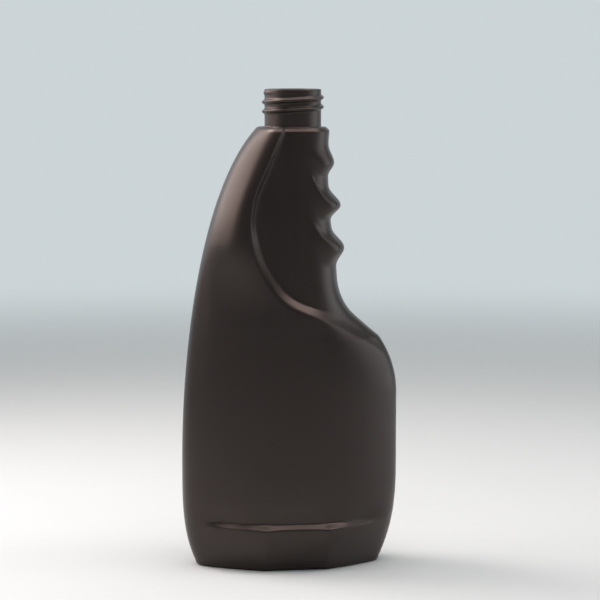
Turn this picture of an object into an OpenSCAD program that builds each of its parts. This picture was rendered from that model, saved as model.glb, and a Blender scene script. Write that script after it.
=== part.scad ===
// Blow-moulded HDPE bottle with a pistol grip, open at a 28 mm screw neck.
// Z is up from the standing ring, -X is the spine of the grip, +X is the finger side.
// The mould parts on the plane y = 0, so front and back are alike.

/* [Bottle] */
// Height from the standing ring to the rim
bottle_h = 216; // [210:1:236]
// Width across the body, spine to finger side
body_w = 98.4; // [88:0.2:108]
// Depth of the body, front to back
body_d = 52; // [44:1:60]
// Thickness of the blown wall
wall = 1; // [0.7:0.1:1.4]

/* [Neck] */
// Height of the neck above the shoulder
neck_h = 17; // [14:0.5:20]
// Outer diameter of the neck below the thread
neck_d = 25.5; // [24:0.1:26]
// Bore of the neck
bore_d = 21.7; // [20.5:0.1:22.2]
// How far the neck axis stands from the middle of the body, towards the fingers
neck_x = 1.6; // [0:0.1:3]
// Bevel on the outer edge of the rim
rim_bevel = 0.5; // [0.2:0.1:0.8]
// Fillet where the neck meets the shoulder
neck_fillet = 0.5; // [0.2:0.1:0.8]

/* [Shoulder] */
// From the neck axis back to the spine at the shoulder
shoulder_back = 15.9; // [14.6:0.1:18]
// From the neck axis to the finger side at the shoulder
shoulder_front = 16.7; // [15.5:0.1:18.5]
// Depth of the shoulder, front to back
shoulder_d = 33; // [32:0.5:37]
// Round on the edge of the shoulder
shoulder_r = 1.4; // [0.8:0.1:1.6]

/* [Hip] */
// Height of the widest part of the spine side
belly_z = 46; // [40:1:56]
// Height where the finger side starts to curve in to the hip
hip_z = 78; // [72:1:84]
// Radius of the hip, seen from the front
hip_r = 45; // [36:0.5:56]
// Height of the soft corner where the hip meets the thumb sweep
hip_top = 104; // [100:1:107]

/* [Finger grip] */
// From the neck axis to the hollow of the first finger
grip_reach = 15.9; // [15:0.1:17.5]
// From the neck axis to the foot of the last finger bump
grip_foot = 19.5; // [18.5:0.1:21.5]
// From the shoulder down to the crest of the first bump
first_bump = 16.2; // [15:0.1:17]
// Spacing of the finger bumps
bump_pitch = 19; // [18:0.1:20]
// How far the first bump stands out
bump_1 = 2.8; // [1:0.1:4]
// How far the second bump stands out
bump_2 = 4.8; // [3:0.1:6]
// How far the third bump stands out
bump_3 = 4.5; // [3:0.1:6]
// How far the crests climb from the parting plane to the flat of the grip
crest_climb = 9; // [4:0.5:12]

/* [Grip recess] */
// Depth of the recess in the flat of the grip
recess_depth = 3; // [1.5:0.1:4]
// Depth of the recess where it runs out at the shoulder
recess_top_depth = 1.9; // [1:0.1:2]
// Width of the slope from the ridge down to the recess
recess_slope = 4.2; // [2.5:0.1:5]
// Width of that slope beside the upper grip
recess_slope_top = 1.9; // [1.2:0.1:3]

/* [Heel] */
// Height of the heel band
heel_h = 19.8; // [15:0.2:24]
// Height of the sloped ledge above the heel
ledge_h = 2.2; // [1.4:0.1:3]
// Depth of the panel where it meets the ledge, front to back
panel_d = 50.4; // [44:0.2:52]
// Depth across the front and back corners of the heel, at the ledge
heel_d = 54.4; // [50:0.2:60]
// How far the middle facet of the heel is dished
facet_dish = 1.4; // [0:0.1:2]
// Width of the middle facet of the heel
facet_w = 29; // [22:1:36]

/* [Base] */
// How far the spine draws in from the belly to the base
spine_toe = 6.8; // [3:0.1:9]
// How far the finger side draws in from the belly to the base
finger_toe = 8.8; // [5:0.1:11]
// Depth of the base, front to back
base_d = 37.6; // [32:0.2:44]
// Round on the edge of the base
base_r = 2; // [1:0.1:3]
// Width of the standing ring
ring_w = 2.4; // [1.5:0.1:4]
// Height of the pushed-up middle of the base
push_up = 3; // [1.5:0.1:5]

/* [Hidden] */
bottle_colour = "#221f1f";
shoulder_z = bottle_h - neck_h;
half_w = body_w / 2;
half_d = body_d / 2;
facet_half = facet_w / 2;
neck_lap = 0.4;
// Fullness of the rounded sections, where 0.5 is an ellipse and more is a pointed oval
oval_body = 0.7;
oval_spine = 0.6;
oval_grip = 0.42;
// Power at which a pointed oval turns round at its tip
tip_power = 6;
// Exponents of the curves that draw in below the belly
spine_toe_power = 3.4;
finger_toe_power = 2.6;
depth_toe_power = 2.4;
heel_power = 1.7;
// Shape of the heel's tapering facets, almost straight from corner to tip
facet_power = 1.1;
facet_fullness = 0.67;
// The flat of the grip ends here, seen from the middle of the body
flat_end = 2;
// Most that the ridge may lean when its slope is measured level
steepest_lean = 2.2;
// A bump stands on its crest: its height above the crest, and its steeper returns below
bump_crests = [for (b = [0:2]) shoulder_z - first_bump - b * bump_pitch];
bump_heights = [bump_1, bump_2, bump_3];
bump_rise = 9;
bump_returns = [6.4, 7.2, 9.4];
rise_power = 1.14;
return_power = 1.27;
// Share of the way to the finger tip over which a bump grows out of the flat
bump_starts = 0.15;
bump_full = 0.75;
// Shares between which the crests stop climbing, and how far below the shoulder the climb fades
climb_starts = 0.26;
climb_ends = 0.76;
climb_power = 1.6;
climb_fade = 31;
// Columns of the skin between the spine, two inner lines, the foot of the ridge and the finger side
spine_columns = 5;
face_columns = 4;
slope_columns = 2;
finger_columns = 8;
half_columns = spine_columns + face_columns + slope_columns + finger_columns;
columns = 2 * half_columns;

// Smooth step from 0 at a to 1 at b
function ease(a, b, z) = let (t = min(max((z - a) / (b - a), 0), 1)) t * t * (3 - 2 * t);
function blend(a, b, t) = a + (b - a) * t;

// Slope of a line of [height, reach] points at point i
function slope_at(line, i) =
    let (lo = max(i - 1, 0), hi = min(i + 1, len(line) - 1))
    (line[hi][1] - line[lo][1]) / (line[hi][0] - line[lo][0]);

// Reach of a smooth line through [height, reach] points that climb, at height z
function reach_at(line, z) =
    let (
        last = len(line) - 2,
        below = [for (i = [0:last]) if (line[i][0] <= z) i],
        i = len(below) == 0 ? 0 : below[len(below) - 1],
        run = line[i + 1][0] - line[i][0],
        t = min(max((z - line[i][0]) / run, 0), 1),
        s = t * t * (3 - 2 * t),
        in_slope = run * slope_at(line, i) * t * (1 - t) * (1 - t),
        out_slope = run * slope_at(line, i + 1) * t * t * (t - 1)
    )
    blend(line[i][1], line[i + 1][1], s) + in_slope + out_slope;

// The spine is one ellipse arc from the belly to the shoulder, and draws in to the base below
shoulder_ratio = (shoulder_back - neck_x) / half_w;
spine_rise = (shoulder_z - belly_z) / sqrt(1 - shoulder_ratio * shoulder_ratio);
function spine_x(z) =
    z > belly_z
    ? -half_w * sqrt(1 - pow((z - belly_z) / spine_rise, 2))
    : -half_w + spine_toe * pow((belly_z - z) / belly_z, spine_toe_power);

// The finger side: base, belly, hip arc, thumb sweep and the hollows between the fingers
hip_x = half_w - hip_r + sqrt(hip_r * hip_r - pow(hip_top - hip_z, 2));
finger_line = [
    [hip_top, hip_x],
    [hip_top + 5, blend(grip_foot, hip_x - neck_x, 0.7) + neck_x],
    [hip_top + 13, blend(grip_foot, hip_x - neck_x, 0.28) + neck_x],
    [hip_top + 22, blend(grip_foot, hip_x - neck_x, 0.066) + neck_x],
    [shoulder_z - 62, grip_foot + neck_x],
    [shoulder_z - 52, blend(grip_reach, grip_foot, 0.73) + neck_x],
    [shoulder_z - 42, blend(grip_reach, grip_foot, 0.31) + neck_x],
    [shoulder_z - 34, blend(grip_reach, grip_foot, 0.24) + neck_x],
    [shoulder_z - 23, grip_reach + neck_x],
    [shoulder_z - 7, blend(grip_reach, shoulder_front, 0.28) + neck_x],
    [shoulder_z, shoulder_front + neck_x]
];
function hollow_x(z) =
    z > hip_top ? reach_at(finger_line, z)
    : z > hip_z ? half_w - hip_r + sqrt(hip_r * hip_r - pow(z - hip_z, 2))
    : z > belly_z ? half_w
    : half_w - finger_toe * pow((belly_z - z) / belly_z, finger_toe_power);

// How far bump b stands out at height z
function bump(b, z) =
    let (
        crest = bump_crests[b],
        above = pow(ease(crest + bump_rise, crest, z), rise_power),
        under = pow(ease(crest - bump_returns[b], crest, z), return_power)
    )
    bump_heights[b] * (z > crest ? above : under);
function bumps_at(z) = bump(0, z) + bump(1, z) + bump(2, z);

// The ridge that borders the grip recess, from the hip up to the shoulder
ridge_line = [
    [hip_top - 10, hip_x + 2.4],
    [hip_top - 6.5, hip_x - 0.4],
    [hip_top - 2.5, hip_x - 6],
    [hip_top + 2.5, hip_x - 14.6],
    [hip_top + 10, hip_x - 30.1],
    [hip_top + 16, -2.7],
    [hip_top + 24, -11],
    [shoulder_z - 59, -17.8],
    [shoulder_z - 46, -20],
    [shoulder_z - 31, -18.2],
    [shoulder_z - 17, -12.4],
    [shoulder_z, -5]
];
ridge_end = hip_top - 10;
function ridge_x(z) = reach_at(ridge_line, max(z, ridge_end));
// Width of the ridge's slope measured level, where the ridge runs at a slant
function slope_w(z) =
    let (
        lean = min(abs(ridge_x(z + 2) - ridge_x(z - 2)) / 4, steepest_lean),
        straight = blend(recess_slope, recess_slope_top, ease(shoulder_z - 56, shoulder_z - 38, z)),
        level_w = straight * sqrt(1 + lean * lean)
    )
    min(level_w, (hollow_x(z) - ridge_x(z)) / 2);
function recess_at(z) =
    blend(recess_depth, recess_top_depth, ease(shoulder_z - 30, shoulder_z, z))
    * ease(ridge_end, hip_top, z);

// Half depth of the body at height z, an ellipse arc like the spine
depth_ratio = shoulder_d / body_d;
depth_rise = (shoulder_z - belly_z) / sqrt(1 - depth_ratio * depth_ratio);
function depth_at(z) =
    z > belly_z
    ? half_d * sqrt(1 - pow((z - belly_z) / depth_rise, 2))
    : half_d - (half_d - panel_d / 2) * pow((belly_z - z) / (belly_z - heel_h), depth_toe_power);

// Height of a rounded section at a share t of the way from its crown to its tip
function oval(t, fullness) =
    let (u = min(max(t, 0), 1))
    pow(1 - u * u, blend(fullness, 0.5, pow(u, tip_power)));

// Half depth of the plain skin at x: crown between two centres, rounded to both tips
function plain_y(x, z) =
    let (
        grip = ease(hip_top, hip_top + 22, z),
        left = ridge_x(z) * ease(hip_top + 8, hip_top + 44, z),
        left_fullness = blend(oval_body, oval_spine, ease(hip_top, hip_top + 44, z)),
        right = flat_end * grip
    )
    depth_at(z) * (
        x < left ? oval((left - x) / (left - spine_x(z)), left_fullness)
        : x > right ? oval((x - right) / (hollow_x(z) - right), blend(oval_body, oval_grip, grip))
        : 1
    );

// Half depth of the heel band at x: a dished middle facet and two facets that taper to the tips
function heel_y(x, z) =
    let (
        tip = x < 0 ? -spine_x(z) : hollow_x(z),
        t = min(max((abs(x) - facet_half) / (tip - facet_half), 0), 1),
        rise = min(z / heel_h, 1),
        dish = facet_dish * rise * max(1 - pow(x / facet_half, 2), 0),
        corner = blend(heel_d, base_d, pow(1 - rise, heel_power)) / 2
    )
    corner * pow(1 - pow(t, facet_power), blend(facet_fullness, 0.5, pow(t, tip_power))) - dish;

// Half depth of the finished skin: plain above the ledge, sunk right of the ridge, faceted below
function skin_y(x, z) =
    let (
        plain = plain_y(x, z),
        sunk = min(max((x - ridge_x(z)) / slope_w(z), 0), 1) * recess_at(z),
        heel = ease(heel_h + ledge_h, heel_h, z)
    )
    blend(plain * (1 - sunk / depth_at(z)), heel_y(x, z), heel);

// Lines across the skin that its columns follow: the heel's corners below, the ridge above
function column_turn(z) = ease(heel_h + ledge_h, ridge_end, z);
function foot_line(z) = blend(facet_half, ridge_x(z) + slope_w(z), column_turn(z));
function ridge_col(z) = foot_line(z) - blend(recess_slope, slope_w(z), column_turn(z));
function inner_line(z) =
    blend(-facet_half, (spine_x(z) + ridge_col(z)) / 2, ease(heel_h + ledge_h, hip_top, z));

// Level place of column c at height z, from the spine to the hollow of the finger side
function column_x(c, z) =
    let (
        spine = spine_x(z),
        inner = inner_line(z),
        ridge = ridge_col(z),
        foot = foot_line(z),
        second = spine_columns + face_columns,
        third = second + slope_columns
    )
    c <= spine_columns ? blend(spine, inner, 1 - cos(90 * c / spine_columns))
    : c <= second ? blend(inner, ridge, (c - spine_columns) / face_columns)
    : c <= third ? blend(ridge, foot, (c - second) / slope_columns)
    : blend(foot, hollow_x(z), sin(90 * (c - third) / finger_columns));

// Share of the way from the flat of the grip to the tip of the finger side
function finger_share(x, z) = min(max((x - flat_end) / (hollow_x(z) - flat_end), 0), 1);

// The crests climb away from the parting plane, so the rings that follow them rise to the flat
function climb_at(z) =
    crest_climb * ease(hip_top + 8, hip_top + 36, z)
    * min(max((shoulder_z - shoulder_r - z) / (climb_fade - shoulder_r), 0), 1);
function climbed_z(c, z) =
    let (tipward = ease(climb_starts, climb_ends, finger_share(column_x(c, z), z)))
    z + climb_at(z) * pow(1 - tipward, climb_power);

// Point of column c on the ring [section height, inset from the edge, real height]
function skin_point(c, ring) =
    let (
        front = c <= half_columns,
        column = front ? c : columns - c,
        z = climbed_z(column, ring[0]),
        x = column_x(column, z),
        y = skin_y(x, z),
        pushed = x + bumps_at(ring[0]) * ease(bump_starts, bump_full, finger_share(x, z)),
        middle = (spine_x(z) + hollow_x(z)) / 2,
        half_span = (hollow_x(z) - spine_x(z)) / 2,
        in_x = 1 - ring[1] / half_span,
        in_y = 1 - ring[1] / depth_at(z)
    )
    [blend(middle, pushed, in_x), (front ? -y : y) * in_y, ring[2] + z - ring[0]];

// Rings from the middle of the base to the shoulder: [section height, inset, real height]
function level(z) = [z, 0, z];
ring_step = 2;
base_rings = [
    [base_r, base_d / 3, push_up * 0.9],
    [base_r, base_r + ring_w + ring_step, push_up * 0.35],
    [base_r, base_r + ring_w, 0],
    [base_r, base_r * 0.9, 0],
    [base_r, base_r * 0.3, base_r * 0.3],
    level(base_r)
];
heel_rings = [for (t = [0.35, 0.7, 1]) level(blend(base_r, heel_h, t))];
ledge_rings = [for (t = [0.35, 0.65, 1]) level(heel_h + t * ledge_h)];
belly_rings = [for (t = [0.1:0.12:0.94]) level(blend(heel_h + ledge_h, ridge_end - 3, t))];
hip_rings = [for (t = [0:0.143:0.99]) level(blend(ridge_end - 3, hip_top + 8, t))];
sweep_rings = [for (t = [0:0.13:0.92]) level(blend(hip_top + 8, hip_top + 22, t))];
grip_end = bump_crests[2] - bump_returns[2] - 1;
grip_rings = [for (t = [0:0.34:0.99]) level(blend(hip_top + 22, grip_end, t))];
under_steps = [-1, -0.78, -0.57, -0.37, -0.18];
over_steps = [0, 1.2, 2.6, 4.4, 6.6, bump_rise];
bump_rings = [for (b = [2:-1:0])
    each concat(
        [for (step = under_steps) level(bump_crests[b] + step * bump_returns[b])],
        [for (step = over_steps) level(bump_crests[b] + step)]
    )];
top_round = concat(
    [level(shoulder_z - 4.5)],
    [for (a = [0:30:90])
        [shoulder_z - shoulder_r, shoulder_r * (1 - cos(a)), shoulder_z - shoulder_r * (1 - sin(a))]]
);
rings = concat(base_rings, heel_rings, ledge_rings, belly_rings, hip_rings, sweep_rings,
    grip_rings, bump_rings, top_round);

outer = [for (ring = rings) [for (c = [0:columns - 1]) skin_point(c, ring)]];

function unit(v) = v / norm(v);
// Inner point that lies one wall inside the outer point of ring r and column c
function inner_point(r, c) =
    let (
        along = outer[r][(c + 1) % columns] - outer[r][(c + columns - 1) % columns],
        up = outer[min(r + 1, len(rings) - 1)][c] - outer[max(r - 1, 0)][c]
    )
    outer[r][c] - wall * unit(cross(along, up));
inner = [for (r = [0:len(rings) - 1]) [for (c = [0:columns - 1]) inner_point(r, c)]];

// Ring round the neck opening, each point in line with its column
hole_r = (bore_d + neck_d) / 4;
function hole_ring(z) = [for (p = outer[len(rings) - 1])
    let (a = atan2(p[1], p[0] - neck_x)) [neck_x + hole_r * cos(a), hole_r * sin(a), z]];

function flat(rows) = [for (row = rows, point = row) point];
// Diagonals closer in length than this are taken as equal, so front and back are split alike
tie = 0.001;
// Triangles between rows of points, each four-sided patch split along its shorter diagonal
function grid_faces(points, rows) = [for (r = [0:rows - 2], c = [0:columns - 1])
    let (
        a = r * columns + c,
        b = r * columns + (c + 1) % columns,
        d = a + columns,
        e = b + columns,
        longer = norm(points[e] - points[a]) - norm(points[d] - points[b])
    )
    each longer < (c < half_columns ? tie : -tie) ? [[a, d, e], [a, e, b]] : [[a, d, b], [d, e, b]]];
// Triangles from a centre point to the row of points whose first number is start
function fan_faces(centre, start, outside) = [for (c = [0:columns - 1])
    let (a = start + c, b = start + (c + 1) % columns)
    outside ? [centre, a, b] : [centre, b, a]];

// The blown body: outer skin up to the neck opening, then the inner skin back down
module blown_body() {
    base_x = (spine_x(base_r) + hollow_x(base_r)) / 2;
    walls = concat(outer, [hole_ring(shoulder_z), hole_ring(shoulder_z - wall)],
        [for (r = [len(inner) - 1:-1:0]) inner[r]]);
    count = len(walls) * columns;
    points = concat(flat(walls), [[base_x, 0, push_up], [base_x, 0, push_up + wall]]);
    faces = concat(
        grid_faces(points, len(walls)),
        fan_faces(count, 0, true),
        fan_faces(count + 1, count - columns, false)
    );
    polyhedron(points = points, faces = faces, convexity = 10);
}

// The neck: a plain tube with a bevelled rim, filleted to the shoulder
module neck() {
    bore_r = bore_d / 2;
    neck_r = neck_d / 2;
    foot_z = shoulder_z - wall - neck_lap;
    profile = [
        [bore_r, foot_z],
        [neck_r, foot_z],
        [neck_r, shoulder_z - neck_lap],
        [neck_r + neck_fillet, shoulder_z - neck_lap],
        [neck_r + neck_fillet, shoulder_z],
        [neck_r + neck_fillet * 0.3, shoulder_z + neck_fillet * 0.3],
        [neck_r, shoulder_z + neck_fillet],
        [neck_r, bottle_h - rim_bevel],
        [neck_r - rim_bevel, bottle_h],
        [bore_r, bottle_h]
    ];
    translate([neck_x, 0, 0]) rotate_extrude($fn = 96) polygon(profile);
}

module bottle() {
    color(bottle_colour)
    union() {
        blown_body();
        neck();
    }
}

bottle();
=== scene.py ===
"""Blow-moulded HDPE bottle with a pistol grip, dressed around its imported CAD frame."""

import math

import bmesh
import bpy
from bpy.props import FloatProperty, FloatVectorProperty, PointerProperty
from mathutils import Euler, Matrix, Vector


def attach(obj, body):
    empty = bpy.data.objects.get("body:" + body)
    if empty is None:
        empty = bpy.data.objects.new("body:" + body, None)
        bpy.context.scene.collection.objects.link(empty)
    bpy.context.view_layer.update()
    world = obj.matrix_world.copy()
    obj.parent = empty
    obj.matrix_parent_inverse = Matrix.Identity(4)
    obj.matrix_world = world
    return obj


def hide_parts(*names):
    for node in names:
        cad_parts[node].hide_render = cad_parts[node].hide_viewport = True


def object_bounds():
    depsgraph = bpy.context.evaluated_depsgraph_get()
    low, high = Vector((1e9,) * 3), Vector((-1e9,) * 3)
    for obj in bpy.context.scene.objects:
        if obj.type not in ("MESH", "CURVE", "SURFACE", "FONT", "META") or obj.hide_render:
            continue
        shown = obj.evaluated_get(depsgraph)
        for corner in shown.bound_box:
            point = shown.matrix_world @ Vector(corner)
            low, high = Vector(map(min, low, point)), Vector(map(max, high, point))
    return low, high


bl_info = {
    "name": "Pistol Grip Bottle",
    "version": (1, 0, 0),
    "blender": (4, 5, 0),
    "location": "3D View > Sidebar > Bottle",
    "description": "Models a blown spray bottle with its thread, its plastic and a plain studio",
    "category": "Object",
}

MM = 0.001
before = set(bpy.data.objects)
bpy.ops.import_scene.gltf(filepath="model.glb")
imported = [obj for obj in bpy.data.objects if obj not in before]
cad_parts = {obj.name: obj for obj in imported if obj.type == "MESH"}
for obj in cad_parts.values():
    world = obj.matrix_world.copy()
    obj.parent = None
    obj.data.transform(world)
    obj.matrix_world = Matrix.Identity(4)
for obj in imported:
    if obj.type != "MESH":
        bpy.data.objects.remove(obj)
cad_low, cad_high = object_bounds()

# Columns of half the skin, from the spine past the ridge to the finger side
SPINE_COLUMNS = 14
FACE_COLUMNS = 14
SLOPE_COLUMNS = 10
FINGER_COLUMNS = 34
HALF_COLUMNS = SPINE_COLUMNS + FACE_COLUMNS + SLOPE_COLUMNS + FINGER_COLUMNS
# Rings across the base, round its edge and round the edge of the shoulder
BASE_RINGS, FOOT_RINGS, SHOULDER_RINGS = 12, 8, 10
# Rings up the plain wall of the neck, close enough to carry the thread
WALL_RINGS = 64
# Rings round the fillet, the rim and the mouth of the bore, and down the bore
FILLET_RINGS, RIM_RINGS, MOUTH_RINGS, BORE_RINGS = 6, 5, 4, 6

# Fullness of the rounded sections, where 0.5 is an ellipse and more is a pointed oval
OVAL_BODY = 0.7
OVAL_SPINE = 0.6
OVAL_GRIP = 0.42
# Shape of the heel's tapering facets, almost straight from corner to tip
FACET_POWER = 1.1
FACET_FULLNESS = 0.67
TIP_POWER = 6
# Exponents of the curves that draw in below the belly
SPINE_TOE_POWER = 3.4
FINGER_TOE_POWER = 2.6
DEPTH_TOE_POWER = 2.4
HEEL_POWER = 1.7
# The flat of the grip ends here, seen from the middle of the body
FLAT_END = 2 * MM
STEEPEST_LEAN = 2.2
# A bump stands on its crest: its height above the crest, and its steeper returns below
BUMP_RISE = 9 * MM
BUMP_RETURNS = (6.4 * MM, 7.2 * MM, 9.4 * MM)
RISE_POWER = 1.14
RETURN_POWER = 1.27
BUMP_STARTS, BUMP_FULL = 0.15, 0.75
CLIMB_STARTS, CLIMB_ENDS = 0.26, 0.76
CLIMB_POWER = 1.6
CLIMB_FADE = 31 * MM
# How softly the ridge and the ledge break into their slopes, as shares of the slopes' width
RIDGE_SOFTNESS = 0.16
LEDGE_SOFTNESS = 0.14
# Where the ledge is shallower than this, the panel is drawn in above it, over this height
LEDGE_DEPTH = 1.9 * MM
LEDGE_BLEND = 0.5 * MM
COVE_HEIGHT = 9 * MM
# Share of the way to each tip from which the drawn-in part fades
COVE_FADE = 0.6
# Share of a straight chamfer in the round on the edge of the shoulder
SHOULDER_CHAMFER = 0.75
# Share of the way out from the middle over which the push-up stays flat
PUSH_UP_FLAT = 0.55
# Round on the mouth of the bore
INNER_ROUND = 0.3 * MM
# How softly the thread's crest breaks into its flanks, and where the flanks end in the wall
CREST_SOFTNESS = 0.12
FLANK_END = -0.4

# The board reaches this far from the bottle and is curved up behind it
FLOOR_REACH = 4
BACKDROP_CURVE = 1.2
# The camera stands where the photograph was taken from, fitted to the edges of the bottle
CAMERA_PLACE = (-0.14413, -1.06009, 0.237)
CAMERA_TURN = (math.radians(83.79), 0, math.radians(-8))
CAMERA_LENS, CAMERA_SENSOR = 142.31, 36


def length(name, mm, description):
    """A property for a length, given in millimetres."""
    return FloatProperty(
        name=name, description=description, default=mm * MM, unit="LENGTH", precision=4
    )


def colour(name, code, description):
    """A property for a colour, given as an sRGB hex code."""
    return FloatVectorProperty(
        name=name, description=description, default=linear(code), subtype="COLOR", size=3
    )


def linear(code):
    """Linear RGB of an sRGB hex code."""
    parts = [int(code[i : i + 2], 16) / 255 for i in (1, 3, 5)]
    return tuple(p / 12.92 if p <= 0.04045 else ((p + 0.055) / 1.055) ** 2.4 for p in parts)


class BottleSizes(bpy.types.PropertyGroup):
    """Sizes of the blown body and of its neck."""

    bottle_h: FloatProperty(
        name="Height",
        description="From the standing ring to the rim",
        default=cad_high.z,
        unit="LENGTH",
    )
    body_w: FloatProperty(
        name="Width",
        description="Across the body, spine to finger side",
        default=cad_high.x - cad_low.x,
        unit="LENGTH",
    )
    body_d: length("Depth", 52, "Depth of the body, front to back")
    wall: length("Wall", 1, "Thickness of the blown wall")
    neck_h: length("Neck height", 17, "Height of the neck above the shoulder")
    neck_d: length("Neck diameter", 25.5, "Outer diameter of the neck below the thread")
    bore_d: length("Bore", 21.7, "Bore of the neck")
    neck_x: length("Neck offset", 1.6, "Neck axis from the middle of the body")
    rim_bevel: length("Rim bevel", 0.5, "Round on the outer edge of the rim")
    neck_fillet: length("Neck fillet", 0.5, "Fillet where the neck meets the shoulder")
    shoulder_back: length("Shoulder back", 15.9, "From the neck axis back to the spine")
    shoulder_front: length("Shoulder front", 16.7, "From the neck axis to the finger side")
    shoulder_d: length("Shoulder depth", 33, "Depth of the shoulder, front to back")
    shoulder_r: length("Shoulder round", 1.7, "Round on the edge of the shoulder")
    belly_z: length("Belly height", 46, "Height of the widest part of the spine side")
    hip_z: length("Hip start", 78, "Height where the finger side curves in")
    hip_r: length("Hip radius", 45, "Radius of the hip, seen from the front")
    hip_top: length("Hip top", 104, "Height where the hip meets the thumb sweep")
    grip_reach: length("Grip reach", 15.9, "From the neck axis to the first hollow")
    grip_foot: length("Grip foot", 19.5, "From the neck axis to the foot of the last bump")
    first_bump: length("First bump", 16.2, "From the shoulder down to the first crest")
    bump_pitch: length("Bump pitch", 19, "Spacing of the finger bumps")
    bump_1: length("Bump 1", 2.8, "How far the first bump stands out")
    bump_2: length("Bump 2", 4.8, "How far the second bump stands out")
    bump_3: length("Bump 3", 4.5, "How far the third bump stands out")
    crest_climb: length("Crest climb", 9, "Climb of the crests towards the flat of the grip")
    recess_depth: length("Recess depth", 3, "Depth of the recess in the flat of the grip")
    recess_top_depth: length("Recess top depth", 1.9, "Depth of the recess at the shoulder")
    recess_slope: length("Recess slope", 4.2, "Width of the slope from the ridge to the recess")
    recess_slope_top: length("Upper recess slope", 1.9, "Width of that slope up the grip")
    heel_h: length("Heel height", 19.8, "Height of the heel band")
    ledge_h: length("Ledge height", 2.2, "Height of the sloped ledge above the heel")
    panel_d: length("Panel depth", 50.4, "Depth of the panel where it meets the ledge")
    heel_d: length("Heel depth", 54.4, "Depth across the corners of the heel")
    facet_dish: length("Facet dish", 1.4, "How far the middle facet of the heel is dished")
    facet_w: length("Facet width", 29, "Width of the middle facet of the heel")
    spine_toe: length("Spine toe", 6.8, "How far the spine draws in to the base")
    finger_toe: length("Finger toe", 8.8, "How far the finger side draws in to the base")
    base_d: length("Base depth", 37.6, "Depth of the base, front to back")
    base_r: length("Base round", 2, "Round on the edge of the base")
    ring_w: length("Ring width", 2.4, "Width of the standing ring")
    push_up: length("Push-up", 3, "Height of the pushed-up middle of the base")


class ThreadSizes(bpy.types.PropertyGroup):
    """Sizes of the right-hand thread on the neck."""

    thread_d: length("Thread diameter", 27.9, "Diameter over the crests")
    pitch: length("Pitch", 4.23, "Rise of the thread in one turn")
    foot_z: length("Thread foot", 205.1, "Height of the crest where the thread starts")
    crest_w: length("Crest width", 0.7, "Width of the thread at its crest")
    root_w: length("Root width", 2.5, "Width of the thread where it leaves the wall")
    start: FloatProperty(
        name="Start angle",
        description="Where the thread starts, from the finger side",
        default=math.radians(105),
        subtype="ANGLE",
    )
    turns: FloatProperty(name="Turns", description="Turns of the thread", default=2.36, min=0.5)
    clearance: length("Clearance", 0.9, "Height below the rim's round where the thread fades")
    lead_in: FloatProperty(
        name="Lead-in",
        description="Angle over which the thread rises at its lower end",
        default=math.radians(50),
        subtype="ANGLE",
    )
    run_out: FloatProperty(
        name="Run-out",
        description="Angle over which the thread fades towards the rim",
        default=math.radians(150),
        subtype="ANGLE",
    )


class BottleColours(bpy.types.PropertyGroup):
    """Colours of the plastic and of the studio."""

    plastic: colour("Plastic", "#171514", "Black-brown of the coloured plastic")
    plastic_flow: colour("Flow marks", "#1c1a19", "Lighter streaks left by the flow of the melt")
    gloss_tint: colour("Gloss tint", "#f0d9d2", "Tint of the satin gloss")
    floor: colour("Floor", "#ccd4d7", "Floor and backdrop")


def ease(a, b, z):
    """Smooth step from 0 at a to 1 at b."""
    t = min(max((z - a) / (b - a), 0), 1)
    return t * t * (3 - 2 * t)


def blend(a, b, t):
    """Value at a share t of the way from a to b."""
    return a + (b - a) * t


def reach_at(line, z):
    """Reach of a smooth line through (height, reach) points that climb, at height z."""
    last = len(line) - 2
    i = max([j for j in range(last + 1) if line[j][0] <= z], default=0)
    run = line[i + 1][0] - line[i][0]
    t = min(max((z - line[i][0]) / run, 0), 1)

    def slope(j):
        low, high = max(j - 1, 0), min(j + 1, len(line) - 1)
        return (line[high][1] - line[low][1]) / (line[high][0] - line[low][0])

    in_slope = run * slope(i) * t * (1 - t) ** 2
    out_slope = run * slope(i + 1) * t * t * (t - 1)
    return blend(line[i][1], line[i + 1][1], t * t * (3 - 2 * t)) + in_slope + out_slope


def oval(t, fullness):
    """Height of a rounded section at a share t of the way from its crown to its tip."""
    u = min(max(t, 0), 1)
    return (1 - u * u) ** blend(fullness, 0.5, u**TIP_POWER)


def soft_ramp(t, softness):
    """Ramp from 0 to 1 over t from 0 to 1, rounded where it starts and ends."""
    return (math.hypot(t, softness) - math.hypot(t - 1, softness) + 1) / 2


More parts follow.
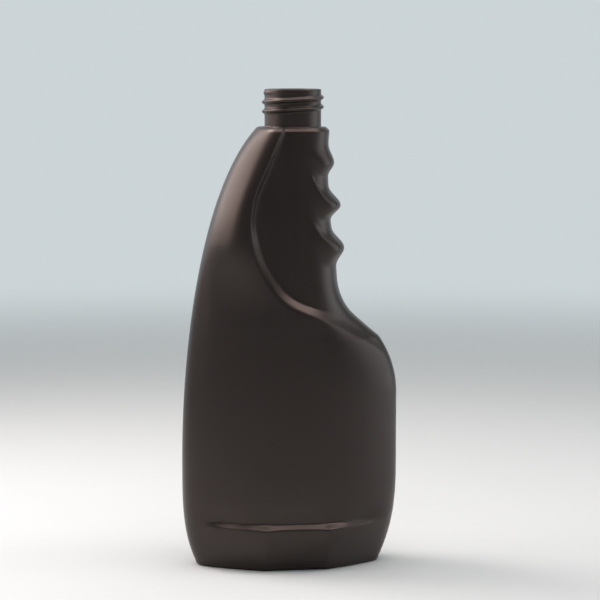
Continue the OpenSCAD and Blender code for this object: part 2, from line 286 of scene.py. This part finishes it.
class BlownForm:
    """The curves that the skin of the bottle follows, from its sizes."""

    def __init__(self, sizes):
        self.s = s = sizes
        self.shoulder_z = s.bottle_h - s.neck_h
        self.half_w = s.body_w / 2
        self.half_d = s.body_d / 2
        self.hip_x = self.half_w - s.hip_r + math.sqrt(s.hip_r**2 - (s.hip_top - s.hip_z) ** 2)
        ratio = (s.shoulder_back - s.neck_x) / self.half_w
        self.spine_rise = (self.shoulder_z - s.belly_z) / math.sqrt(1 - ratio**2)
        ratio = s.shoulder_d / s.body_d
        self.depth_rise = (self.shoulder_z - s.belly_z) / math.sqrt(1 - ratio**2)
        self.crests = [self.shoulder_z - s.first_bump - b * s.bump_pitch for b in range(3)]
        self.heights = (s.bump_1, s.bump_2, s.bump_3)
        self.ridge_end = s.hip_top - 10 * MM
        self.finger_line = self.finger_points()
        self.ridge_line = self.ridge_points()

    def finger_points(self):
        """The thumb sweep and the hollows between the fingers."""
        s, top, hip = self.s, self.shoulder_z, self.s.hip_top
        foot, reach = s.grip_foot + s.neck_x, s.grip_reach + s.neck_x
        front = s.shoulder_front + s.neck_x
        return [
            (hip, self.hip_x),
            (hip + 5 * MM, blend(foot, self.hip_x, 0.7)),
            (hip + 13 * MM, blend(foot, self.hip_x, 0.28)),
            (hip + 22 * MM, blend(foot, self.hip_x, 0.066)),
            (top - 62 * MM, foot),
            (top - 52 * MM, blend(reach, foot, 0.73)),
            (top - 42 * MM, blend(reach, foot, 0.31)),
            (top - 34 * MM, blend(reach, foot, 0.24)),
            (top - 23 * MM, reach),
            (top - 7 * MM, blend(reach, front, 0.28)),
            (top, front),
        ]

    def ridge_points(self):
        """The ridge that borders the grip recess, from the hip up to the shoulder."""
        top, hip, x = self.shoulder_z, self.s.hip_top, self.hip_x
        return [
            (hip - 10 * MM, x + 2.4 * MM),
            (hip - 6.5 * MM, x - 0.4 * MM),
            (hip - 2.5 * MM, x - 6 * MM),
            (hip + 2.5 * MM, x - 14.6 * MM),
            (hip + 10 * MM, x - 30.1 * MM),
            (hip + 16 * MM, -2.7 * MM),
            (hip + 24 * MM, -11 * MM),
            (top - 59 * MM, -17.8 * MM),
            (top - 46 * MM, -20 * MM),
            (top - 31 * MM, -18.2 * MM),
            (top - 17 * MM, -12.4 * MM),
            (top, -5 * MM),
        ]

    def spine_x(self, z):
        """One ellipse arc from the belly to the shoulder, drawn in to the base below."""
        s = self.s
        if z > s.belly_z:
            return -self.half_w * math.sqrt(1 - ((z - s.belly_z) / self.spine_rise) ** 2)
        return -self.half_w + s.spine_toe * ((s.belly_z - z) / s.belly_z) ** SPINE_TOE_POWER

    def hollow_x(self, z):
        """The finger side without its bumps."""
        s = self.s
        if z > s.hip_top:
            return reach_at(self.finger_line, z)
        if z > s.hip_z:
            return self.half_w - s.hip_r + math.sqrt(s.hip_r**2 - (z - s.hip_z) ** 2)
        if z > s.belly_z:
            return self.half_w
        return self.half_w - s.finger_toe * ((s.belly_z - z) / s.belly_z) ** FINGER_TOE_POWER

    def bumps_at(self, z):
        """How far the finger bumps stand out at height z."""
        reach = 0
        for crest, height, back in zip(self.crests, self.heights, BUMP_RETURNS):
            if z > crest:
                reach += height * ease(crest + BUMP_RISE, crest, z) ** RISE_POWER
            else:
                reach += height * ease(crest - back, crest, z) ** RETURN_POWER
        return reach

    def ridge_x(self, z):
        """The ridge, which runs straight down from its lower end."""
        return reach_at(self.ridge_line, max(z, self.ridge_end))

    def slope_w(self, z):
        """Width of the ridge's slope measured level, where the ridge runs at a slant."""
        s, top = self.s, self.shoulder_z
        lean = abs(self.ridge_x(z + 2 * MM) - self.ridge_x(z - 2 * MM)) / (4 * MM)
        straight = blend(
            s.recess_slope, s.recess_slope_top, ease(top - 56 * MM, top - 38 * MM, z)
        )
        level_w = straight * math.hypot(1, min(lean, STEEPEST_LEAN))
        return min(level_w, (self.hollow_x(z) - self.ridge_x(z)) / 2)

    def recess_at(self, z):
        """Depth of the grip recess, which runs out at the hip."""
        s, top = self.s, self.shoulder_z
        depth = blend(s.recess_depth, s.recess_top_depth, ease(top - 30 * MM, top, z))
        return depth * ease(self.ridge_end, s.hip_top, z)

    def depth_at(self, z):
        """Half depth of the body, an ellipse arc like the spine."""
        s = self.s
        if z > s.belly_z:
            return self.half_d * math.sqrt(1 - ((z - s.belly_z) / self.depth_rise) ** 2)
        drawn = (s.belly_z - z) / (s.belly_z - s.heel_h)
        return self.half_d - (self.half_d - s.panel_d / 2) * drawn**DEPTH_TOE_POWER

    def plain_y(self, x, z):
        """Half depth of the plain skin: crown between two centres, rounded to both tips."""
        hip = self.s.hip_top
        grip = ease(hip, hip + 22 * MM, z)
        left = self.ridge_x(z) * ease(hip + 8 * MM, hip + 44 * MM, z)
        right = FLAT_END * grip
        if x < left:
            fullness = blend(OVAL_BODY, OVAL_SPINE, ease(hip, hip + 44 * MM, z))
            return self.depth_at(z) * oval((left - x) / (left - self.spine_x(z)), fullness)
        if x > right:
            fullness = blend(OVAL_BODY, OVAL_GRIP, grip)
            return self.depth_at(z) * oval((x - right) / (self.hollow_x(z) - right), fullness)
        return self.depth_at(z)

    def heel_y(self, x, z):
        """Half depth of the heel band: a dished middle facet and two that taper to the tips."""
        s = self.s
        half = s.facet_w / 2
        tip = -self.spine_x(z) if x < 0 else self.hollow_x(z)
        t = min(max((abs(x) - half) / (tip - half), 0), 1)
        rise = min(z / s.heel_h, 1)
        dish = s.facet_dish * rise * max(1 - (x / half) ** 2, 0)
        corner = blend(s.heel_d, s.base_d, (1 - rise) ** HEEL_POWER) / 2
        fullness = blend(FACET_FULLNESS, 0.5, t**TIP_POWER)
        return corner * (1 - t**FACET_POWER) ** fullness - dish

    def skin_y(self, x, z):
        """Half depth of the finished skin."""
        s = self.s
        across = (x - self.ridge_x(z)) / self.slope_w(z)
        sunk = soft_ramp(across, RIDGE_SOFTNESS) * self.recess_at(z)
        ledge_top = s.heel_h + s.ledge_h
        tip = self.spine_x(z) if x < 0 else self.hollow_x(z)
        end = ease(1, COVE_FADE, x / tip)
        short = LEDGE_DEPTH * end + self.plain_y(x, ledge_top) - self.heel_y(x, s.heel_h)
        cove = (short + math.hypot(short, LEDGE_BLEND)) / 2
        cove *= ease(ledge_top + COVE_HEIGHT, ledge_top, z) * end
        panel = self.plain_y(x, z) * (1 - sunk / self.depth_at(z)) - cove
        heel = soft_ramp((ledge_top - z) / s.ledge_h, LEDGE_SOFTNESS)
        return blend(panel, self.heel_y(x, z), heel)

    def foot_line(self, z):
        """Foot of the ridge's slope, led down to the corner of the heel's middle facet."""
        turn = ease(self.s.heel_h + self.s.ledge_h, self.ridge_end, z)
        return blend(self.s.facet_w / 2, self.ridge_x(z) + self.slope_w(z), turn)

    def column_x(self, c, z):
        """Level place of column c, from the spine to the hollow of the finger side."""
        s = self.s
        turn = ease(s.heel_h + s.ledge_h, self.ridge_end, z)
        spine, foot = self.spine_x(z), self.foot_line(z)
        ridge = foot - blend(s.recess_slope, self.slope_w(z), turn)
        face = ease(s.heel_h + s.ledge_h, s.hip_top, z)
        inner = blend(-s.facet_w / 2, (spine + ridge) / 2, face)
        if c <= SPINE_COLUMNS:
            return blend(spine, inner, 1 - math.cos(math.pi / 2 * c / SPINE_COLUMNS))
        c -= SPINE_COLUMNS
        if c <= FACE_COLUMNS:
            return blend(inner, ridge, c / FACE_COLUMNS)
        c -= FACE_COLUMNS
        if c <= SLOPE_COLUMNS:
            return blend(ridge, foot, c / SLOPE_COLUMNS)
        c -= SLOPE_COLUMNS
        return blend(foot, self.hollow_x(z), math.sin(math.pi / 2 * c / FINGER_COLUMNS))

    def finger_share(self, x, z):
        """Share of the way from the flat of the grip to the tip of the finger side."""
        return min(max((x - FLAT_END) / (self.hollow_x(z) - FLAT_END), 0), 1)

    def climbed_z(self, c, z):
        """Height of column c on a ring that follows the climb of the crests."""
        s = self.s
        top = self.shoulder_z - s.shoulder_r
        climb = s.crest_climb * ease(s.hip_top + 8 * MM, s.hip_top + 36 * MM, z)
        climb *= min(max((top - z) / (CLIMB_FADE - s.shoulder_r), 0), 1)
        if climb == 0:
            return z
        share = self.finger_share(self.column_x(c, z), z)
        return z + climb * (1 - ease(CLIMB_STARTS, CLIMB_ENDS, share)) ** CLIMB_POWER

    def skin_point(self, c, ring):
        """Point of column c on the ring (section height, inset, real height), front half."""
        section, inset, real = ring
        z = self.climbed_z(c, section)
        x = self.column_x(c, z)
        y = self.skin_y(x, z)
        x += self.bumps_at(section) * ease(BUMP_STARTS, BUMP_FULL, self.finger_share(x, z))
        spine, hollow = self.spine_x(z), self.hollow_x(z)
        x = blend((spine + hollow) / 2, x, 1 - 2 * inset / (hollow - spine))
        return Vector((x, -y * (1 - inset / self.depth_at(z)), real + z - section))

    def ring_z(self):
        """Heights of the rings up the side, closest at the ledge."""
        s = self.s
        stops = (
            (s.base_r, s.heel_h - 1 * MM, 1.1 * MM),
            (s.heel_h - 1 * MM, s.heel_h + s.ledge_h + 1 * MM, 0.2 * MM),
            (s.heel_h + s.ledge_h + 1 * MM, self.ridge_end - 6 * MM, 1.8 * MM),
            (self.ridge_end - 6 * MM, self.shoulder_z - s.shoulder_r, 0.7 * MM),
        )
        heights = []
        for low, high, step in stops:
            count = round((high - low) / step)
            heights += [blend(low, high, i / count) for i in range(count)]
        return heights

    def rings(self):
        """Rings from the middle of the base to the shoulder: (section, inset, real height)."""
        s = self.s
        r, top = s.base_r, self.shoulder_z
        ring_in = r + s.ring_w
        centre = s.base_d / 2
        rings = []
        for i in range(BASE_RINGS):
            t = i / BASE_RINGS
            inset = blend(centre, ring_in, t)
            rings.append((r, inset, s.push_up * (1 - ease(PUSH_UP_FLAT, 1, t))))
        rings += [(r, ring_in, 0), (r, ring_in - 0.5 * MM, 0), (r, r + 0.4 * MM, 0)]
        for i in range(FOOT_RINGS):
            a = math.pi / 2 * i / FOOT_RINGS
            rings.append((r, r * (1 - math.sin(a)), r * (1 - math.cos(a))))
        rings += [(z, 0, z) for z in self.ring_z()]
        for i in range(SHOULDER_RINGS + 1):
            t = i / SHOULDER_RINGS
            a = math.pi / 2 * t
            inset = s.shoulder_r * blend(1 - math.cos(a), t, SHOULDER_CHAMFER)
            drop = s.shoulder_r * blend(1 - math.sin(a), 1 - t, SHOULDER_CHAMFER)
            rings.append((top - s.shoulder_r, inset, top - drop))
        return rings


def merge(bm):
    """Joins the vertices that lie on one another."""
    bmesh.ops.remove_doubles(bm, verts=bm.verts, dist=0.01 * MM)


def new_piece(name, bm, material):
    """An object for a finished bmesh, with smooth faces and one material."""
    mesh = bpy.data.meshes.new(name)
    bm.to_mesh(mesh)
    bm.free()
    mesh.materials.append(material)
    mesh.polygons.foreach_set("use_smooth", [True] * len(mesh.polygons))
    piece = bpy.data.objects.new(name, mesh)
    bpy.context.scene.collection.objects.link(piece)
    return piece


def blown_shell(form):
    """The outer skin, from the middle of the base to the foot of the neck."""
    s = form.s
    rings = form.rings()
    foot_r = s.neck_d / 2 + s.neck_fillet
    axis = Vector((s.neck_x, 0, form.shoulder_z))
    rows = len(rings) + 2
    bm = bmesh.new()
    bmesh.ops.create_grid(bm, x_segments=HALF_COLUMNS, y_segments=rows - 1, size=1)
    for vert in bm.verts:
        c = round((vert.co.x + 1) / 2 * HALF_COLUMNS)
        r = round((vert.co.y + 1) / 2 * (rows - 1))
        if r == 0:
            x = (form.spine_x(s.base_r) + form.hollow_x(s.base_r)) / 2
            vert.co = (x, 0, s.push_up)
        elif r <= len(rings):
            vert.co = form.skin_point(c, rings[r - 1])
        else:
            # The foot of the neck lies in line with each column
            edge = form.skin_point(c, rings[-1])
            vert.co = axis + (edge - axis).normalized() * foot_r
        if c in (0, HALF_COLUMNS):
            vert.co.y = 0
    bmesh.ops.mirror(
        bm,
        geom=bm.verts[:] + bm.edges[:] + bm.faces[:],
        matrix=Matrix.Identity(4),
        merge_dist=0.001 * MM,
        axis="Y",
    )
    merge(bm)
    bmesh.ops.recalc_face_normals(bm, faces=bm.faces)
    return bm


def thread_height(thread, wall_r, angle, z, wall_top):
    """How far the thread stands out of the neck at an angle and a height."""
    full = (thread.thread_d / 2 - wall_r) * ease(wall_top, wall_top - thread.clearance, z)
    whole = thread.turns * math.tau
    height = 0
    for turn in range(-1, math.ceil(thread.turns) + 1):
        run = angle - thread.start + turn * math.tau
        if 0 < run < whole:
            away = abs(z - thread.foot_z - thread.pitch * run / math.tau)
            flank = (thread.root_w / 2 - away) / (thread.root_w - thread.crest_w) * 2
            ends = ease(0, thread.lead_in, run) * ease(whole, whole - thread.run_out, run)
            if flank > FLANK_END:
                height = max(height, full * soft_ramp(flank, CREST_SOFTNESS) * ends)
    return height


def neck_profile(form):
    """Rings of the neck as (radius, height), from the shoulder over the rim and down the bore."""
    s = form.s
    wall_r, bore_r = s.neck_d / 2, s.bore_d / 2
    fillet, bevel = s.neck_fillet, s.rim_bevel
    low, high = form.shoulder_z + fillet, s.bottle_h - bevel
    inside = form.shoulder_z - s.wall
    profile = []
    for i in range(1, FILLET_RINGS + 1):
        a = math.pi / 2 * i / FILLET_RINGS
        profile.append((wall_r + fillet * (1 - math.sin(a)), low - fillet * math.cos(a)))
    profile += [(wall_r, blend(low, high, i / WALL_RINGS)) for i in range(1, WALL_RINGS)]
    for i in range(RIM_RINGS + 1):
        a = math.pi / 2 * i / RIM_RINGS
        profile.append((wall_r - bevel * (1 - math.cos(a)), high + bevel * math.sin(a)))
    for i in range(MOUTH_RINGS + 1):
        a = math.pi / 2 * i / MOUTH_RINGS
        top = s.bottle_h - INNER_ROUND * (1 - math.cos(a))
        profile.append((bore_r + INNER_ROUND * (1 - math.sin(a)), top))
    bore_top = s.bottle_h - INNER_ROUND
    for i in range(1, BORE_RINGS + 1):
        profile.append((bore_r, blend(bore_top, inside, i / BORE_RINGS)))
    profile.append((wall_r + fillet, inside))
    return profile


def add_neck(bm, form, thread, foot):
    """Extrudes the neck from its foot, ring by ring, and raises the thread on its wall."""
    s = form.s
    wall_r, wall_top = s.neck_d / 2, s.bottle_h - s.rim_bevel
    edges = foot
    for r, z in neck_profile(form):
        made = bmesh.ops.extrude_edge_only(bm, edges=edges)["geom"]
        edges = [g for g in made if isinstance(g, bmesh.types.BMEdge)]
        edges = [e for e in edges if e.is_boundary]
        for vert in {v for e in edges for v in e.verts}:
            angle = math.atan2(vert.co.y, vert.co.x - s.neck_x)
            out = r
            if r == wall_r:
                out += thread_height(thread, wall_r, angle, z, wall_top)
            vert.co = (s.neck_x + out * math.cos(angle), out * math.sin(angle), z)


def add_inner_skin(bm, form):
    """Copies the outer skin one wall inwards and turns it round."""
    bm.normal_update()
    inner = bmesh.ops.duplicate(bm, geom=bm.verts[:] + bm.edges[:] + bm.faces[:])["geom"]
    faces = [g for g in inner if isinstance(g, bmesh.types.BMFace)]
    verts = [g for g in inner if isinstance(g, bmesh.types.BMVert)]
    for vert in verts:
        vert.co -= vert.normal * form.s.wall
    bmesh.ops.reverse_faces(bm, faces=faces)


def add_node(tree, kind, settings=None, values=None, links=None):
    """Adds a shader node with its settings, socket values and incoming links."""
    node = tree.nodes.new(kind)
    for key, value in (settings or {}).items():
        setattr(node, key, value)
    for key, value in (values or {}).items():
        node.inputs[key].default_value = value
    for key, (source, output) in (links or {}).items():
        tree.links.new(source.outputs[output], node.inputs[key])
    return node


def new_material(name):
    """An empty node material with its output."""
    material = bpy.data.materials.new(name)
    material.use_nodes = True
    tree = material.node_tree
    tree.nodes.clear()
    return material, tree


def blown_hdpe(colours):
    """HDPE, blown: near-black satin with fine grain, faint flow marks and a parting line."""
    material, tree = new_material("hdpe_blow_moulded_black_brown")
    place = add_node(tree, "ShaderNodeTexCoord")
    # Flow marks run up the bottle, because the melt was drawn down before it was blown
    drawn = add_node(
        tree,
        "ShaderNodeMapping",
        values={"Scale": (1 / (6 * MM), 1 / (6 * MM), 1 / (90 * MM))},
        links={"Vector": (place, "Object")},
    )
    flow = add_node(
        tree,
        "ShaderNodeTexNoise",
        values={"Scale": 1, "Detail": 3, "Roughness": 0.5},
        links={"Vector": (drawn, "Vector")},
    )
    # Fine grain of the sand-blasted mould, drawn at 0.5 mm so that it shows
    grain = add_node(
        tree,
        "ShaderNodeTexNoise",
        values={"Scale": 1 / (0.5 * MM), "Detail": 2, "Roughness": 0.6},
        links={"Vector": (place, "Object")},
    )
    # Slow waves in the cooled wall, some 20 mm long
    waves = add_node(
        tree,
        "ShaderNodeTexNoise",
        values={"Scale": 1 / (20 * MM), "Detail": 1},
        links={"Vector": (place, "Object")},
    )
    base = add_node(
        tree,
        "ShaderNodeMix",
        settings={"data_type": "RGBA"},
        values={"A": (*colours.plastic, 1), "B": (*colours.plastic_flow, 1)},
        links={"Factor": (flow, "Fac")},
    )
    satin = add_node(
        tree,
        "ShaderNodeMapRange",
        values={"From Min": 0.3, "From Max": 0.7, "To Min": 0.33, "To Max": 0.39},
        links={"Value": (flow, "Fac")},
    )
    # Parting line where the two halves of the mould met, on the plane y = 0
    parts = add_node(tree, "ShaderNodeSeparateXYZ", links={"Vector": (place, "Object")})
    beside = add_node(
        tree, "ShaderNodeMath", settings={"operation": "ABSOLUTE"}, links={0: (parts, "Y")}
    )
    line = add_node(
        tree,
        "ShaderNodeMapRange",
        settings={"interpolation_type": "SMOOTHSTEP"},
        values={"From Min": 0.1 * MM, "From Max": 0.35 * MM, "To Min": 1, "To Max": 0},
        links={"Value": (beside, "Value")},
    )
    seam = add_node(
        tree,
        "ShaderNodeBump",
        values={"Strength": 0.6, "Distance": 0.12 * MM},
        links={"Height": (line, "Result")},
    )
    wavy = add_node(
        tree,
        "ShaderNodeBump",
        values={"Strength": 0.25, "Distance": 0.2 * MM},
        links={"Height": (waves, "Fac"), "Normal": (seam, "Normal")},
    )
    grainy = add_node(
        tree,
        "ShaderNodeBump",
        values={"Strength": 0.12, "Distance": 0.05 * MM},
        links={"Height": (grain, "Fac"), "Normal": (wavy, "Normal")},
    )
    shader = add_node(
        tree,
        "ShaderNodeBsdfPrincipled",
        values={
            "IOR": 1.54,
            "Specular IOR Level": 0.6,
            "Specular Tint": (*colours.gloss_tint, 1),
        },
        links={
            "Base Color": (base, "Result"),
            "Roughness": (satin, "Result"),
            "Normal": (grainy, "Normal"),
        },
    )
    add_node(tree, "ShaderNodeOutputMaterial", links={"Surface": (shader, "BSDF")})
    return material


def painted_board(colours):
    """Painted studio board: matt and pale, and evenly pale away from the bottle."""
    material, tree = new_material("painted_studio_board")
    board = add_node(
        tree,
        "ShaderNodeBsdfPrincipled",
        values={"Base Color": (*colours.floor, 1), "Roughness": 0.8},
    )
    plain = add_node(
        tree, "ShaderNodeEmission", values={"Color": (*colours.floor, 1), "Strength": 1.0}
    )
    # The board turns plain from outside the bottle's shadow to the foot of the backdrop
    place = add_node(tree, "ShaderNodeTexCoord")
    far = add_node(
        tree,
        "ShaderNodeVectorMath",
        settings={"operation": "LENGTH"},
        links={"Vector": (place, "Object")},
    )
    outside = add_node(
        tree,
        "ShaderNodeMapRange",
        settings={"interpolation_type": "SMOOTHSTEP"},
        values={"From Min": 0.4, "From Max": 1.3},
        links={"Value": (far, "Value")},
    )
    ray = add_node(tree, "ShaderNodeLightPath")
    seen = {"operation": "MAXIMUM"}
    mirrored = add_node(
        tree,
        "ShaderNodeMath",
        settings=seen,
        links={0: (ray, "Is Glossy Ray"), 1: (ray, "Is Transmission Ray")},
    )
    looked_at = add_node(
        tree,
        "ShaderNodeMath",
        settings=seen,
        links={0: (ray, "Is Camera Ray"), 1: (mirrored, "Value")},
    )
    share = add_node(
        tree,
        "ShaderNodeMath",
        settings={"operation": "MULTIPLY"},
        links={0: (outside, "Result"), 1: (looked_at, "Value")},
    )
    shader = add_node(
        tree,
        "ShaderNodeMixShader",
        links={0: (share, "Value"), 1: (board, "BSDF"), 2: (plain, "Emission")},
    )
    add_node(tree, "ShaderNodeOutputMaterial", links={"Surface": (shader, "Shader")})
    return material


class BOTTLE_OT_blown_body(bpy.types.Operator):
    """Model the blown bottle with its neck and thread"""

    bl_idname = "bottle.blown_body"
    bl_label = "Blown bottle"

    def execute(self, context):
        scene = context.scene
        form = BlownForm(scene.bottle_sizes)
        bm = blown_shell(form)
        foot = [edge for edge in bm.edges if edge.is_boundary]
        add_inner_skin(bm, form)
        add_neck(bm, form, scene.bottle_thread, foot)
        merge(bm)
        bmesh.ops.recalc_face_normals(bm, faces=bm.faces)
        if any(not edge.is_manifold for edge in bm.edges):
            raise RuntimeError("the bottle's skin is not closed")
        bottle = new_piece("blown_bottle", bm, blown_hdpe(scene.bottle_colours))
        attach(bottle, "root")
        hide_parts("bottle")
        return {"FINISHED"}


def curved_board(colours):
    """The floor, curved up into a backdrop behind the bottle."""
    bm = bmesh.new()
    bmesh.ops.create_grid(bm, x_segments=1, y_segments=1, size=FLOOR_REACH)
    back = [e for e in bm.edges if all(v.co.y > 0 for v in e.verts)]
    raised = bmesh.ops.extrude_edge_only(bm, edges=back)["geom"]
    top = [g for g in raised if isinstance(g, bmesh.types.BMVert)]
    bmesh.ops.translate(bm, verts=top, vec=(0, 0, FLOOR_REACH))
    fold = [e for e in bm.edges if all(v.co.y > 0 and v.co.z < 0.01 for v in e.verts)]
    bmesh.ops.bevel(
        bm,
        geom=fold,
        offset=BACKDROP_CURVE,
        affect="EDGES",
        segments=24,
        profile=0.5,
        material=-1,
    )
    bmesh.ops.recalc_face_normals(bm, faces=bm.faces)
    return new_piece("studio_floor", bm, painted_board(colours))


def area_lamp(name, place, aim, size, power, tint):
    """A soft rectangular lamp that faces a point and that the camera doesn't see."""
    data = bpy.data.lights.new(name, "AREA")
    data.shape = "RECTANGLE"
    data.size, data.size_y = size
    data.energy = power
    data.color = linear(tint)
    lamp = bpy.data.objects.new(name, data)
    lamp.location = place
    lamp.rotation_euler = (Vector(aim) - Vector(place)).to_track_quat("-Z", "Y").to_euler()
    lamp.visible_camera = False
    bpy.context.scene.collection.objects.link(lamp)


def hang_lamps():
    """Lamps for the spine, the thread, the ledge, the hip and the finger side."""
    grip, body, middle = (-0.02, -0.01, 0.18), (0, 0, 0.15), (0, 0, 0.12)
    warm = "#fff0ea"
    area_lamp("key_left", (-0.39, 0.12, 0.35), grip, (0.58, 0.28), 1.9, warm)
    area_lamp("key_high", (-0.37, 0.2, 0.72), grip, (0.24, 0.24), 2.6, warm)
    area_lamp("top_softbox", (0.1, -0.07, 0.9), (0.1, -0.07, 0), (0.75, 1.1), 6.4, "#fff4ee")
    area_lamp("right_high", (0.42, -0.12, 0.62), body, (0.25, 0.25), 1.0, warm)
    area_lamp("fill_right", (0.9, 0.0, 0.26), middle, (0.6, 0.6), 1.7, "#eef6fa")


def pale_room():
    """The weak light of a pale room from all sides."""
    world = bpy.data.worlds.new("pale_room")
    world.use_nodes = True
    tree = world.node_tree
    tree.nodes.clear()
    room = add_node(
        tree,
        "ShaderNodeBackground",
        values={"Color": (*linear("#e6eef2"), 1), "Strength": 0.2},
    )
    add_node(tree, "ShaderNodeOutputWorld", links={"Surface": (room, "Background")})
    return world


def photo_camera():
    """The camera at the photograph's place and angle."""
    data = bpy.data.cameras.new("camera")
    data.sensor_width = CAMERA_SENSOR
    data.lens = CAMERA_LENS
    camera = bpy.data.objects.new("camera", data)
    camera.location = CAMERA_PLACE
    camera.rotation_euler = Euler(CAMERA_TURN)
    bpy.context.scene.collection.objects.link(camera)
    return camera


class BOTTLE_OT_studio(bpy.types.Operator):
    """Set up the floor, the lamps and the camera"""

    bl_idname = "bottle.studio"
    bl_label = "Studio"

    def execute(self, context):
        scene = context.scene
        floor = curved_board(scene.bottle_colours)
        hang_lamps()
        scene.world = pale_room()
        scene.camera = photo_camera()
        scene.view_settings.view_transform = "Standard"
        return {"FINISHED"}


class BOTTLE_PT_panel(bpy.types.Panel):
    """Lists the bottle's operators and sizes"""

    bl_idname = "BOTTLE_PT_panel"
    bl_label = "Pistol Grip Bottle"
    bl_space_type = "VIEW_3D"
    bl_region_type = "UI"
    bl_category = "Bottle"

    def draw(self, context):
        layout = self.layout
        for operator in (BOTTLE_OT_blown_body, BOTTLE_OT_studio):
            layout.operator(operator.bl_idname)
        for group in ("bottle_sizes", "bottle_thread", "bottle_colours"):
            values = getattr(context.scene, group)
            box = layout.box()
            for key in values.__annotations__:
                box.prop(values, key)


CLASSES = (
    BottleSizes,
    ThreadSizes,
    BottleColours,
    BOTTLE_OT_blown_body,
    BOTTLE_OT_studio,
    BOTTLE_PT_panel,
)


def register():
    """Registers the classes and puts their values on the scene."""
    for item in CLASSES:
        bpy.utils.register_class(item)
    bpy.types.Scene.bottle_sizes = PointerProperty(type=BottleSizes)
    bpy.types.Scene.bottle_thread = PointerProperty(type=ThreadSizes)
    bpy.types.Scene.bottle_colours = PointerProperty(type=BottleColours)


def unregister():
    """Takes the values and the classes away again."""
    del bpy.types.Scene.bottle_colours
    del bpy.types.Scene.bottle_thread
    del bpy.types.Scene.bottle_sizes
    for item in reversed(CLASSES):
        bpy.utils.unregister_class(item)


def main():
    """Builds the bottle and its studio."""
    register()
    bpy.ops.bottle.blown_body()
    bpy.ops.bottle.studio()


if __name__ == "__main__":
    main()
